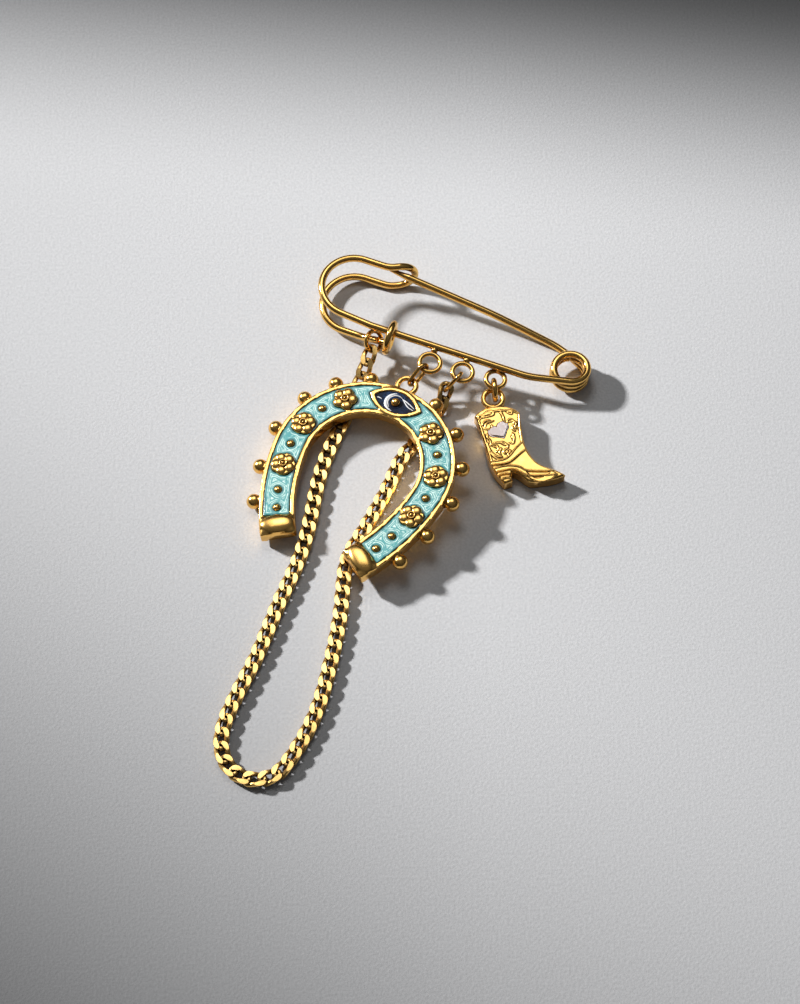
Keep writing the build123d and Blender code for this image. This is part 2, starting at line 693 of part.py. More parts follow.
with BuildPart() as boot_stone:
    with BuildSketch(Plane(stone_plane).offset(stone_gap - stone_depth)):
        add(heart_face(0))
    extrude(amount=stone_depth)
    with BuildSketch(Plane(stone_plane).offset(stone_gap)):
        add(heart_face(-stone_step))
    extrude(amount=stone_rise)
boot_stone.part.label = "boot_stone"
export_step(boot_stone.part, "parts/boot_stone.step")

print("coil_z", coil_z, "tilt", pin_tilt * 57.29578)
print("hinge pos", pin_plane.origin, "axis", pin_plane.z_dir)
print("links", chain_count, "route", chain_line.length)
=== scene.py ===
"""Looks of a kilt-pin brooch with a horseshoe, a boot and a long loop of curb chain.

It lies on a pale surface. Sizes are in millimetres unless a docstring says otherwise.
"""

import json
import logging
import math
from collections.abc import Sequence
from dataclasses import dataclass
from enum import Enum

import bpy
import numpy as np
from mathutils import Matrix, Vector
from mathutils.kdtree import KDTree

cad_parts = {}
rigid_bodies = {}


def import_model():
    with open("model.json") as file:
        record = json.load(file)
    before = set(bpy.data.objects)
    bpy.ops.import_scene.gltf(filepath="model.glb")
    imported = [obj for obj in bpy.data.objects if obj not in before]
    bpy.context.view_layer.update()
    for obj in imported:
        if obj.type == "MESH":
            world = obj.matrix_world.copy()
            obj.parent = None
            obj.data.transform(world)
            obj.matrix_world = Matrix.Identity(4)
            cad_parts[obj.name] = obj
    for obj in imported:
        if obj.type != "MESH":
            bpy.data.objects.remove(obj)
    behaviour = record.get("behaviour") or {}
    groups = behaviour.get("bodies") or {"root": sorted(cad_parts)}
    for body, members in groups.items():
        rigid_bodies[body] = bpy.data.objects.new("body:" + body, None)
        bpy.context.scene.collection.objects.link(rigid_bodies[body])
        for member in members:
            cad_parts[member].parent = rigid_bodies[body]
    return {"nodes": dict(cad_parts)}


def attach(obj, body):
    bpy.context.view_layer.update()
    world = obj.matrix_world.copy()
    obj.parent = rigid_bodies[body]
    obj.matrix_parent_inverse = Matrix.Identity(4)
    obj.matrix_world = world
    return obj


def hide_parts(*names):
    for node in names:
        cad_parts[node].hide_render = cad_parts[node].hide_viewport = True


MM = 0.001
LOG = logging.getLogger("brooch")
Point = tuple[float, float, float]
Pair = tuple[float, float]
Line = tuple[Pair, ...]
Colour = tuple[float, float, float, float]
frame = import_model()


class Body(Enum):
    """The rigid bodies that pieces ride on."""

    BROOCH = "brooch"
    TONGUE = "tongue"


class Slot(Enum):
    """The record's material slots."""

    POLISHED = "gold_polished"
    CHAIN = "gold_chain"
    CAST = "gold_cast"
    TURQUOISE = "turquoise_enamel"
    NAVY = "navy_enamel"
    STONE = "pink_stone"


@dataclass(frozen=True)
class Seat:
    """A plane that a charm is drawn in: its origin in millimetres and its three axes."""

    origin: Point
    x: Point
    y: Point
    z: Point

    def matrix(self) -> Matrix:
        """Gives the move from the charm's own plane, in metres, to the frame."""
        turn = Matrix((self.x, self.y, self.z)).transposed().to_4x4()
        return Matrix.Translation(Vector(self.origin) * MM) @ turn


SHOE_SEAT = Seat(
    (-10.8413, 12.2989, 4.6049),
    (0.89352, -0.44433, 0.06479),
    (0.44276, 0.89585, 0.03769),
    (-0.07479, -0.00499, 0.99719),
)
BOOT_SEAT = Seat(
    (22.9868, 8.3168, 3.7615),
    (0.99123, 0.13205, 0.00528),
    (-0.13215, 0.99044, 0.03962),
    (0.0, -0.03997, 0.9992),
)


Materials = dict[Slot, bpy.types.Material]


def drop_selection() -> None:
    """Deselects everything, so that the next primitive stands alone."""
    if bpy.context.mode != "OBJECT":
        bpy.ops.object.mode_set(mode="OBJECT")
    bpy.ops.object.select_all(action="DESELECT")


def pick_only(obj: bpy.types.Object) -> None:
    """Selects one object and makes it the active one.

    Args:
        obj: The object to pick.
    """
    drop_selection()
    obj.select_set(True)
    bpy.context.view_layer.objects.active = obj


def put(obj: bpy.types.Object, matrix: Matrix) -> bpy.types.Object:
    """Moves an object's mesh to a place and leaves the object at the origin.

    Args:
        obj: The object to place.
        matrix: The move from the object's own space to the frame.

    Returns:
        The same object.
    """
    pick_only(obj)
    obj.matrix_world = matrix @ obj.matrix_world
    bpy.ops.object.transform_apply(location=True, rotation=True, scale=True)
    return obj


def join(objects: Sequence[bpy.types.Object], name: str) -> bpy.types.Object:
    """Joins objects into the first of them.

    Args:
        objects: The objects to join.
        name: The name of the joined object.

    Returns:
        The joined object.
    """
    pick_only(objects[0])
    for obj in objects[1:]:
        obj.select_set(True)
    if len(objects) > 1:
        bpy.ops.object.join()
    objects[0].name = name
    objects[0].data.name = name
    return objects[0]


def copy_at(obj: bpy.types.Object, matrix: Matrix) -> bpy.types.Object:
    """Copies an object with its own mesh and places the copy.

    Args:
        obj: The object to copy.
        matrix: The move from the object's own space to the frame.

    Returns:
        The copy.
    """
    pick_only(obj)
    bpy.ops.object.duplicate()
    return put(bpy.context.active_object, matrix)


def remove(obj: bpy.types.Object) -> None:
    """Deletes an object that served as a pattern."""
    pick_only(obj)
    bpy.ops.object.delete()


def copy_of_node(node: str) -> bpy.types.Object:
    """Copies a node of the frame with its loose triangles merged.

    Args:
        node: The node's name.

    Returns:
        The copy, under no body yet.
    """
    pick_only(frame["nodes"][node])
    bpy.ops.object.duplicate()
    copy = bpy.context.active_object
    bpy.ops.object.parent_clear(type="CLEAR_KEEP_TRANSFORM")
    bpy.ops.object.mode_set(mode="EDIT")
    bpy.ops.mesh.select_all(action="SELECT")
    bpy.ops.mesh.remove_doubles(threshold=1e-6)
    bpy.ops.object.mode_set(mode="OBJECT")
    return copy


def finish_modifier(obj: bpy.types.Object, kind: str, **settings: object) -> None:
    """Adds a modifier and applies it.

    Args:
        obj: The object to change.
        kind: The modifier's type.
        **settings: Its properties.
    """
    pick_only(obj)
    modifier = obj.modifiers.new(kind.title(), kind)
    for key, value in settings.items():
        setattr(modifier, key, value)
    bpy.ops.object.modifier_apply(modifier=modifier.name)


def smooth(obj: bpy.types.Object, angle: float = 35.0) -> None:
    """Shades an object smooth, but for edges sharper than an angle in degrees."""
    pick_only(obj)
    bpy.ops.object.shade_smooth_by_angle(angle=math.radians(angle))


@dataclass(frozen=True)
class Stroke:
    """A drawn ridge's width, base and rise, and the share of its width at its ends."""

    width: float
    base: float
    rise: float
    ends: float


def ridge(points: Sequence[Pair], stroke: Stroke) -> bpy.types.Object:
    """Models a rounded ridge along a drawn line, in the plane of a charm.

    Args:
        points: The line's points.
        stroke: How the ridge stands.

    Returns:
        The ridge as a mesh.
    """
    drop_selection()
    bpy.ops.curve.primitive_nurbs_path_add(radius=1)
    line = bpy.context.active_object
    spline = line.data.splines[0]
    spline.points.add(max(0, len(points) - len(spline.points)))
    while len(points) < len(spline.points):
        halfway = tuple((a + b) / 2 for a, b in zip(points[0], points[1]))
        points = [points[0], halfway, *points[1:]]
    last = len(points) - 1
    for index, (x, y) in enumerate(points):
        spline.points[index].co = (x * MM, y * MM, 0, 1)
        swell = math.sin(math.pi * index / last)
        spline.points[index].radius = stroke.ends + (1 - stroke.ends) * swell
    spline.order_u = 3
    spline.use_endpoint_u = True
    spline.resolution_u = 5
    line.data.dimensions = "3D"
    line.data.bevel_depth = stroke.width / 2 * MM
    line.data.bevel_resolution = 2
    line.data.use_fill_caps = True
    pick_only(line)
    bpy.ops.object.convert(target="MESH")
    line.scale = (1, 1, 2 * stroke.rise / stroke.width)
    line.location = (0, 0, stroke.base * MM)
    bpy.ops.object.transform_apply(location=True, rotation=True, scale=True)
    return line


class NodeTree:
    """A short way to add and join shader nodes."""

    def __init__(self, tree: bpy.types.NodeTree) -> None:
        """Keeps the tree that nodes are added to."""
        self.tree = tree

    def add(
        self, kind: str, inputs: dict[str, object] | None = None, **settings: object
    ) -> bpy.types.Node:
        """Adds a node.

        Args:
            kind: The node's type, without the leading word.
            inputs: Socket names with either a value or another node's socket.
            **settings: The node's properties.

        Returns:
            The node.
        """
        node = self.tree.nodes.new("ShaderNode" + kind)
        for key, value in settings.items():
            setattr(node, key, value)
        for key, value in (inputs or {}).items():
            socket = node.inputs[int(key) if key.isdigit() else key]
            if isinstance(value, bpy.types.NodeSocket):
                self.tree.links.new(value, socket)
            else:
                socket.default_value = value
        return node

    def math(self, operation: str, *values: object, clamp: bool = False) -> bpy.types.NodeSocket:
        """Adds a sum on one to three values, each a number or another node's socket.

        Args:
            operation: The sum's type.
            *values: What it works on, in order.
            clamp: Whether the result is held between 0 and 1.

        Returns:
            The result's socket.
        """
        inputs = {str(index): value for index, value in enumerate(values)}
        return self.add("Math", inputs, operation=operation, use_clamp=clamp).outputs[0]

    def noise(
        self, place: bpy.types.NodeSocket, scale: object, detail: float
    ) -> bpy.types.NodeSocket:
        """Adds a cloudy pattern.

        Args:
            place: The coordinates that it reads.
            scale: How fine it is, a number or another node's socket.
            detail: How many finer layers it has.

        Returns:
            The pattern's socket.
        """
        inputs = {"Vector": place, "Scale": scale, "Detail": detail}
        return self.add("TexNoise", inputs).outputs["Fac"]

    def mix(self, share: object, first: object, second: object) -> bpy.types.NodeSocket:
        """Mixes two colours.

        Args:
            share: The second colour's share.
            first: The colour at share 0.
            second: The colour at share 1.

        Returns:
            The mixed colour's socket.
        """
        node = self.add("Mix", {"0": share, "6": first, "7": second}, data_type="RGBA")
        return node.outputs[2]

    def ramp(self, value: bpy.types.NodeSocket, low: float, high: float) -> bpy.types.NodeSocket:
        """Stretches the part of a value between low and high to 0 and 1."""
        return self.scaled(value, low, high, 0.0, 1.0)

    def scaled(
        self, value: bpy.types.NodeSocket, low: float, high: float, first: float, last: float
    ) -> bpy.types.NodeSocket:
        """Stretches the part of a value between low and high to a new range.

        Args:
            value: The value's socket.
            low: The value that becomes first.
            high: The value that becomes last.
            first: The new range's start.
            last: The new range's end.

        Returns:
            The new value's socket.
        """
        inputs = {
            "Value": value, "From Min": low, "From Max": high, "To Min": first, "To Max": last,
        }
        return self.add("MapRange", inputs).outputs["Result"]


def new_group(
    name: str, ins: dict[str, float | Colour], outs: dict[str, str]
) -> tuple[bpy.types.NodeTree, NodeTree]:
    """Starts a shader node group.

    Args:
        name: The group's name.
        ins: Its inputs with their defaults, numbers or colours.
        outs: Its outputs with their socket kinds.

    Returns:
        The group and a helper to fill it.
    """
    group = bpy.data.node_groups.new(name, "ShaderNodeTree")
    for key, value in ins.items():
        kind = "NodeSocketColor" if isinstance(value, tuple) else "NodeSocketFloat"
        socket = group.interface.new_socket(key, in_out="INPUT", socket_type=kind)
        socket.default_value = value
    for key, kind in outs.items():
        group.interface.new_socket(key, in_out="OUTPUT", socket_type="NodeSocket" + kind)
    return group, NodeTree(group)


@dataclass(frozen=True)
class CastWear:
    """Painted shade in corners, and the fine unevenness of plated metal."""

    name: str = "corner_shade_and_wear"
    # the painted corner shade starts below this occlusion and rises with the slope
    shut_below: float = 0.70
    shut_slope: float = 4.2
    corner_samples: int = 8
    cloud_detail: float = 4.0
    cloud_low: float = 0.3
    cloud_high: float = 0.7
    cloud_share: float = 0.22
    grain_scale: float = 5200.0
    grain_detail: float = 2.0
    grain_height: float = 0.35
    shut_rough: float = 0.3

    def group(self) -> bpy.types.NodeTree:
        """Builds the group once.

        Returns:
            The node group.
        """
        if self.name in bpy.data.node_groups:
            return bpy.data.node_groups[self.name]
        ins = {
            "Bright": (0.9, 0.6, 0.2, 1.0), "Deep": (0.3, 0.12, 0.02, 1.0), "Reach": 0.0008,
            "Corners": 0.8, "Gloss": 0.15, "Spread": 0.15, "Scale": 900.0,
        }
        outs = {"Colour": "Color", "Rough": "Float", "Height": "Float"}
        group, tree = new_group(self.name, ins, outs)
        given = group.nodes.new("NodeGroupInput").outputs
        place = tree.add("TexCoord").outputs["Object"]
        # painted shade: ambient occlusion finds the corners, which are darkened towards Deep
        corner = tree.add(
            "AmbientOcclusion", {"Distance": given["Reach"]},
            samples=self.corner_samples, only_local=False,
        ).outputs["AO"]
        open_share = tree.math("SUBTRACT", corner, self.shut_below, clamp=True)
        open_share = tree.math("MULTIPLY", open_share, self.shut_slope, clamp=True)
        corner_shade = tree.math("SUBTRACT", 1.0, open_share, clamp=True)
        corner_shade = tree.math("MULTIPLY", corner_shade, given["Corners"])
        cloud = tree.noise(place, given["Scale"], self.cloud_detail)
        grain = tree.noise(place, self.grain_scale, self.grain_detail)
        tone = tree.scaled(cloud, self.cloud_low, self.cloud_high, 0.0, self.cloud_share)
        warm = tree.mix(tone, given["Bright"], given["Deep"])
        spread = tree.math("MULTIPLY", cloud, given["Spread"])
        rough = tree.math("ADD", spread, given["Gloss"])
        results = group.nodes.new("NodeGroupOutput").inputs
        made = {
            # the colour is the random tone with the painted corner shade mixed in
            "Colour": tree.mix(corner_shade, warm, given["Deep"]),
            "Rough": tree.math("MULTIPLY_ADD", corner_shade, self.shut_rough, rough, clamp=True),
            "Height": tree.math("MULTIPLY_ADD", grain, self.grain_height, cloud),
        }
        for key, socket in made.items():
            group.links.new(socket, results[key])
        return group


@dataclass(frozen=True)
class Gold:
    """Gold plating, polished, cut or cast; reach and bump_depth are in metres."""

    slot: Slot
    bright: Colour
    # deep is the dark of the random tone and the colour of the painted corner shade
    deep: Colour
    gloss: float
    spread: float
    # corners and reach set the painted shade in corners: its strength and how far it reaches
    corners: float
    reach: float
    bump: float
    scale: float
    bump_depth: float = 0.00004

    def material(self) -> bpy.types.Material:
        """Builds the material.

        Returns:
            The material.
        """
        made = bpy.data.materials.new(self.slot.value)
        made.use_nodes = True
        tree = NodeTree(made.node_tree)
        shader = made.node_tree.nodes["Principled BSDF"]
        shade_and_wear = tree.add("Group", node_tree=CastWear().group())
        values = {
            "Bright": self.bright, "Deep": self.deep, "Reach": self.reach,
            "Corners": self.corners, "Gloss": self.gloss, "Spread": self.spread,
            "Scale": self.scale,
        }
        for key, value in values.items():
            shade_and_wear.inputs[key].default_value = value
        shader.inputs["Metallic"].default_value = 1.0
        links = made.node_tree.links
        links.new(shade_and_wear.outputs["Colour"], shader.inputs["Base Color"])
        links.new(shade_and_wear.outputs["Rough"], shader.inputs["Roughness"])
        bump = tree.add("Bump", {
            "Height": shade_and_wear.outputs["Height"], "Strength": self.bump, "Distance": self.bump_depth,
        })
        links.new(bump.outputs["Normal"], shader.inputs["Normal"])
        return made


@dataclass(frozen=True)
class Enamel:
    """Glossy enamel with pale swirls and painted shade along what it meets.

    Each of its lines is a middle, a half width and a weight. Lines and the halo of painted
    shade are placed by the distance in millimetres from what the enamel meets, with the sway
    added to it.
    """

    slot: Slot
    base: Colour
    swirl: Colour
    edge: Colour
    swirl_scale: float
    swirl_share: float
    reach: float
    coat: float = 0.5
    shine: float = 0.5
    outlined: bool = False
    lines: tuple[Point, ...] = ((1.22, 0.15, 1.0), (1.62, 0.13, 0.9), (2.15, 0.16, 0.95))
    halo: Pair = (1.08, 0.55)
    sway: float = 0.9
    sway_scale: float = 420.0
    break_scale: float = 700.0
    breaks: Pair = (0.36, 0.52)
    line_detail: float = 2.0
    drift_scale: float = 0.45
    drift: Pair = (0.40, 0.66)
    vein: Pair = (0.5, 0.06)
    corner: Pair = (0.80, 0.40)
    rough: Pair = (0.22, 0.42)
    coat_rough: float = 0.12
    bump: float = 0.25
    bump_depth: float = 0.0001

    def band(
        self, tree: NodeTree, value: bpy.types.NodeSocket, middle: float, half: float
    ) -> bpy.types.NodeSocket:
        """Gives 1 where a value is at the middle of a band, falling to 0 at its edges.

        Args:
            tree: The material's nodes.
            value: The value's socket.
            middle: The band's middle.
            half: Half of the band's width.

        Returns:
            The band's socket.
        """
        off = tree.math("ABSOLUTE", tree.math("SUBTRACT", value, middle))
        return tree.ramp(off, half, half * 0.2)

    def contours(
        self, tree: NodeTree, share: bpy.types.NodeSocket, place: bpy.types.NodeSocket
    ) -> tuple[bpy.types.NodeSocket, bpy.types.NodeSocket]:
        """Draws broken pale lines that follow what the enamel meets, and painted shade next to
        it.

        Args:
            tree: The material's nodes.
            share: The swirls' share so far.
            place: The object coordinates.

        Returns:
            The swirls' share with the lines, and the painted shade's share.
        """
        far = tree.add("Attribute", attribute_name="outline_distance").outputs["Fac"]
        sway = tree.noise(place, self.sway_scale, self.line_detail)
        far = tree.math("MULTIPLY_ADD", sway, self.sway, far)
        breaks = tree.ramp(tree.noise(place, self.break_scale, self.line_detail), *self.breaks)
        for middle, half, weight in self.lines:
            line = tree.math("MULTIPLY", self.band(tree, far, middle, half), breaks)
            share = tree.math("MAXIMUM", share, tree.math("MULTIPLY", line, weight))
        # painted shade: the halo darkens the enamel next to what it meets
        return share, tree.ramp(far, *self.halo)

    def material(self) -> bpy.types.Material:
        """Builds the material.

        Returns:
            The material.
        """
        made = bpy.data.materials.new(self.slot.value)
        made.use_nodes = True
        tree = NodeTree(made.node_tree)
        shader = made.node_tree.nodes["Principled BSDF"]
        place = tree.add("TexCoord").outputs["Object"]
        drift = tree.noise(place, self.swirl_scale * self.drift_scale, 3.0)
        veins = tree.add("TexNoise", {
            "Vector": place, "Scale": self.swirl_scale, "Detail": 5.0, "Roughness": 0.62,
            "Distortion": 1.6,
        }).outputs["Fac"]
        share = tree.math(
            "MULTIPLY", self.band(tree, veins, *self.vein), tree.ramp(drift, *self.drift)
        )
        share = tree.math("MULTIPLY", share, self.swirl_share)
        if self.outlined:
            share, corner_shade = self.contours(tree, share, place)
        else:
            # painted shade: ambient occlusion darkens the enamel in its corners
            corner = tree.add("AmbientOcclusion", {"Distance": self.reach}, samples=8)
            corner_shade = tree.ramp(corner.outputs["AO"], *self.corner)
        tone = tree.mix(share, self.base, self.swirl)
        links = made.node_tree.links
        # the painted shade mixes its dark colour into the enamel
        links.new(tree.mix(corner_shade, tone, self.edge), shader.inputs["Base Color"])
        shader.inputs["Coat Weight"].default_value = self.coat
        shader.inputs["Specular IOR Level"].default_value = self.shine
        shader.inputs["Coat Roughness"].default_value = self.coat_rough
        links.new(tree.scaled(veins, 0.0, 1.0, *self.rough), shader.inputs["Roughness"])
        bump = tree.add("Bump", {
            "Height": veins, "Strength": self.bump, "Distance": self.bump_depth,
        })
        links.new(bump.outputs["Normal"], shader.inputs["Normal"])
        return made


@dataclass(frozen=True)
class Finishes:
    """Every finish on the brooch."""

    polished: Gold = Gold(
        Slot.POLISHED, (0.97, 0.585, 0.16, 1), (0.15, 0.05, 0.005, 1),
        gloss=0.09, spread=0.08, corners=0.8, reach=0.0014, bump=0.05, scale=500.0,
    )
    chain: Gold = Gold(
        Slot.CHAIN, (0.97, 0.61, 0.20, 1), (0.05, 0.018, 0.003, 1),
        gloss=0.16, spread=0.1, corners=1.0, reach=0.0012, bump=0.08, scale=700.0,
    )
    cast: Gold = Gold(
        Slot.CAST, (1.0, 0.60, 0.17, 1), (0.14, 0.048, 0.004, 1),
        gloss=0.15, spread=0.12, corners=0.9, reach=0.0006, bump=0.1, scale=800.0,
    )
    # painted shade for the boot's engraved grooves: a near-black gold
    tarnish: Gold = Gold(
        Slot.CAST, (0.05, 0.02, 0.003, 1), (0.02, 0.008, 0.001, 1),
        gloss=0.5, spread=0.2, corners=0.8, reach=0.0008, bump=0.1, scale=800.0,
    )
    turquoise: Enamel = Enamel(
        Slot.TURQUOISE, (0.03, 0.31, 0.31, 1), (0.72, 0.93, 0.82, 1), (0.008, 0.10, 0.10, 1),
        swirl_scale=620.0, swirl_share=0.6, reach=0.0013, coat=0.3, outlined=True,
    )
    navy: Enamel = Enamel(
        Slot.NAVY, (0.003, 0.006, 0.018, 1), (0.02, 0.08, 0.22, 1), (0.001, 0.002, 0.006, 1),
        swirl_scale=500.0, swirl_share=0.9, reach=0.0008, coat=0.0, shine=0.1,
    )
    pearl: Enamel = Enamel(
        Slot.NAVY, (0.80, 0.80, 0.80, 1), (0.95, 0.95, 0.93, 1), (0.5, 0.5, 0.5, 1),
        swirl_scale=500.0, swirl_share=0.6, reach=0.0003,
    )
    stone: Enamel = Enamel(
        Slot.STONE, (0.60, 0.49, 0.45, 1), (0.93, 0.87, 0.84, 1), (0.40, 0.27, 0.22, 1),
        swirl_scale=760.0, swirl_share=1.0, reach=0.0006,
    )

    def table(self) -> Materials:
        """Builds each slot's main material.

        Returns:
            The materials by slot, without the groove shade and the pearl, made where they are
            used.
        """
        golds = (self.polished, self.chain, self.cast)
        enamels = (self.turquoise, self.navy, self.stone)
        return {finish.slot: finish.material() for finish in (*golds, *enamels)}


def dress(obj: bpy.types.Object, slot: Slot, materials: Materials) -> None:
    """Gives an object one finish all over."""
    obj.data.materials.clear()
    obj.data.materials.append(materials[slot])


def keep(
    obj: bpy.types.Object, slot: Slot, materials: Materials, body: Body = Body.BROOCH
) -> None:
    """Dresses a piece, lets it ride on its body and names its slot.

    Args:
        obj: The piece.
        slot: Its slot in the record.
        materials: The materials by slot.
        body: The rigid body that it moves with.
    """
    dress(obj, slot, materials)
    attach(obj, body.value)
    LOG.info("%s: %d faces on %s", obj.name, len(obj.data.polygons), body.value)


@dataclass
class CurbStrand:
    """One strand of curb chain, its links cut flat on both faces.

    The twist is how strongly the two sides of a link rise and fall.
    """

    node: str
    half_length: float = 2.38
    half_width: float = 1.24
    wire: float = 1.2
    rise: float = 0.52
    twist: float = 2.6
    squareness: float = 0.74
    cut: float = 1.3
    sides: int = 32
    smooth_angle: float = 32

    def link(self) -> bpy.types.Object:
        """Models one link about the origin, its length along X.

        Returns:
            The link, a long oval twisted so that it lies through its neighbours.
        """
        drop_selection()
        bpy.ops.mesh.primitive_circle_add(vertices=self.sides, radius=1.0)
        ring = bpy.context.active_object
        for vertex in ring.data.vertices:
            x, y = vertex.co.x, vertex.co.y
            along = math.copysign(abs(x) ** self.squareness, x) * self.half_length
            across = math.copysign(abs(y) ** self.squareness, y) * self.half_width
            height = -self.twist * self.rise * x * y * abs(y)
            vertex.co = Vector((along, across, height)) * MM
        bpy.ops.object.convert(target="CURVE")
        ring.data.bevel_depth = self.wire / 2 * MM
        ring.data.bevel_resolution = 3
        bpy.ops.object.convert(target="MESH")
        bpy.ops.object.mode_set(mode="EDIT")
        for side in (1, -1):
            bpy.ops.mesh.select_all(action="SELECT")
            bpy.ops.mesh.bisect(
                plane_co=(0, 0, side * self.cut / 2 * MM), plane_no=(0, 0, side),
                use_fill=True, clear_outer=True,
            )
        bpy.ops.object.mode_set(mode="OBJECT")
        return ring

    def places(self) -> list[Matrix]:
        """Finds each link of the frame's strand.

        Returns:
            The move of each link from the origin.
        """
        copy_of_node(self.node)
        bpy.ops.object.mode_set(mode="EDIT")
        bpy.ops.mesh.select_all(action="SELECT")
        bpy.ops.mesh.separate(type="LOOSE")
        bpy.ops.object.mode_set(mode="OBJECT")
        found = []
        for part in list(bpy.context.selected_objects):
            corners = np.array([tuple(vertex.co) for vertex in part.data.vertices])
            middle = corners.mean(axis=0)
            axes = np.linalg.eigh(np.cov((corners - middle).T))[1][:, ::-1]
            if np.linalg.det(axes) < 0:
                axes[:, 2] *= -1
            turn = Matrix([list(row) for row in axes]).to_4x4()
            found.append(Matrix.Translation(Vector(middle)) @ turn)
        bpy.ops.object.delete()
        return found

    def build(self, materials: Materials) -> None:
        """Models the strand and hides the plain links under it.

        Args:
            materials: The materials by slot.
        """
        pattern = self.link()
        links = [copy_at(pattern, place) for place in self.places()]
        remove(pattern)
        strand = join(links, self.node + "_links")
        smooth(strand, self.smooth_angle)
        keep(strand, Slot.CHAIN, materials)
        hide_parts(self.node)


@dataclass
class Horseshoe:
    """The horseshoe's casting with its flowers, heel caps and eye.

    Places are in the charm's own plane, its right arm's mirrored for the left. Stations run
    along the middle of the band from the toe. A crescent is its radius and two turns in
    degrees, with its width and the share of its ends. The eye's corners are drawn from its
    middle. The flowers' turns are in radians.
    """

    middle_radius: float = 18.15
    arm_radius: float = 50.0
    turn_at: float = 30.41
    face: float = 1.6
    voxel: float = 0.21
    enamel_voxel: float = 0.2
    smooth_angle: float = 50
    flowers: tuple[Pair, ...] = ((11.54, 14.01), (17.71, 3.98), (17.07, -7.8))
    flower_radius: float = 3.0
    flower_lift: float = 0.05
    flower_turn: float = 0.2
    flower_step: float = 0.37
    petals: int = 5
    petal: Point = (1.25, 1.3, 0.62)
    bud: Point = (1.25, 1.25, 0.62)
    petal_level: float = 0.1
    collar: Pair = (0.8, 0.17)
    collar_level: float = 0.76
    bead: float = 0.36
    bead_level: float = 0.74
    dot_stations: tuple[float, ...] = (18.5, 30.6, 43.2, 48.0)
    dot: Point = (0.95, 0.95, 0.85)
    dot_sink: float = 0.35
    marks_angle: float = 60
    cap_size: Point = (8.7, 5.3, 3.7)
    cap_round: float = 1.15
    cap_dome: Point = (4.1, 2.45, 1.0)
    dome_level: float = 0.44
    cap_at: Point = (11.05, -22.65, 0.1)
    cap_turn: float = -31.3
    facing: float = 0.9
    sample_step: float = 0.15
    arc_steps: int = 8
    eye_sink: float = 0.14
    crescents: tuple[tuple[Point, Pair], ...] = (
        ((2.45, 105, 272), (0.85, 0.15)),
        ((1.95, 55, 240), (0.36, 0.3)),
    )
    crescent_rise: float = 0.14
    corners: tuple[Line, ...] = (
        ((1.15, 1.51), (2.39, 1.18), (3.6, 0.76), (4.86, 0.2)),
        ((1.15, 1.51), (2.0, 0.9), (2.66, 0.38), (3.66, -0.2), (4.9, -0.3)),
        ((-4.74, -0.34), (-4.1, -0.25), (-3.49, -0.39)),
    )
    corner_width: float = 0.34
    corner_rise: float = 0.12
    corner_ends: float = 0.4
    iris: Pair = (1.5, 0.3)
    iris_sink: float = 0.16
    iris_flatness: float = 0.35

    def pebble(self, size: Point, at: Point) -> bpy.types.Object:
        """Models a smooth rounded lump.

        Args:
            size: Its three half sizes in millimetres.
            at: Its middle in millimetres.

        Returns:
            The lump.
        """
        drop_selection()
        bpy.ops.mesh.primitive_uv_sphere_add(radius=MM, segments=24, ring_count=14)
        lump = bpy.context.active_object
        lump.scale = size
        lump.location = Vector(at) * MM
        bpy.ops.object.transform_apply(location=True, rotation=True, scale=True)
        return lump

    def flower(self) -> bpy.types.Object:
        """Models a flower of five domed petals round a ringed dot.

        Returns:
            The flower, standing on the origin.
        """
        parts = [self.pebble(self.bud, (0, 0, self.petal_level))]
        for index in range(self.petals):
            turn = Matrix.Rotation(math.radians(90 + 360 / self.petals * index), 4, "Z")
            at = (self.flower_radius - self.petal[0], 0, self.petal_level)
            parts.append(put(self.pebble(self.petal, at), turn))
        drop_selection()
        bpy.ops.mesh.primitive_torus_add(
            major_radius=self.collar[0] * MM, minor_radius=self.collar[1] * MM,
            major_segments=30, minor_segments=10, location=(0, 0, self.collar_level * MM),
        )
        parts.append(bpy.context.active_object)
        parts.append(self.pebble((self.bead,) * 3, (0, 0, self.bead_level)))
        return put(join(parts, "flower"), Matrix.Identity(4))

    def dot_places(self) -> list[Pair]:
        """Finds the dots of both arms along the middle of the band, arcs of two radii.

        Returns:
            The dots' places, a right one and its left one in turn.
        """
        places = []
        for station in self.dot_stations:
            turn = min(station, self.turn_at) / self.middle_radius
            x, y = self.middle_radius * math.sin(turn), self.middle_radius * math.cos(turn)
            rest = max(0.0, station - self.turn_at)
            bend = turn + rest / self.arm_radius
            x += self.arm_radius * (math.sin(bend) - math.sin(turn))
            y += self.arm_radius * (math.cos(bend) - math.cos(turn))
            places += [(x, y), (-x, y)]
        return places

    def marks(self, materials: Materials) -> None:
        """Models the flowers and the dots that stand out of the enamel.

        Args:
            materials: The materials by slot.
        """
        seat = SHOE_SEAT.matrix()
        parts = []
        pattern = self.flower()
        level = (self.face + self.flower_lift) * MM
        places = [(side * x, y) for side in (1, -1) for x, y in self.flowers]
        for index, (x, y) in enumerate(places):
            spin = Matrix.Rotation(self.flower_turn + self.flower_step * index, 4, "Z")
            place = Matrix.Translation((x * MM, y * MM, level))
            parts.append(copy_at(pattern, seat @ place @ spin))
        remove(pattern)
        for x, y in self.dot_places():
            parts.append(put(self.pebble(self.dot, (x, y, self.face - self.dot_sink)), seat))
        marks = join(parts, "horseshoe_marks")
        smooth(marks, self.marks_angle)
        keep(marks, Slot.CAST, materials)

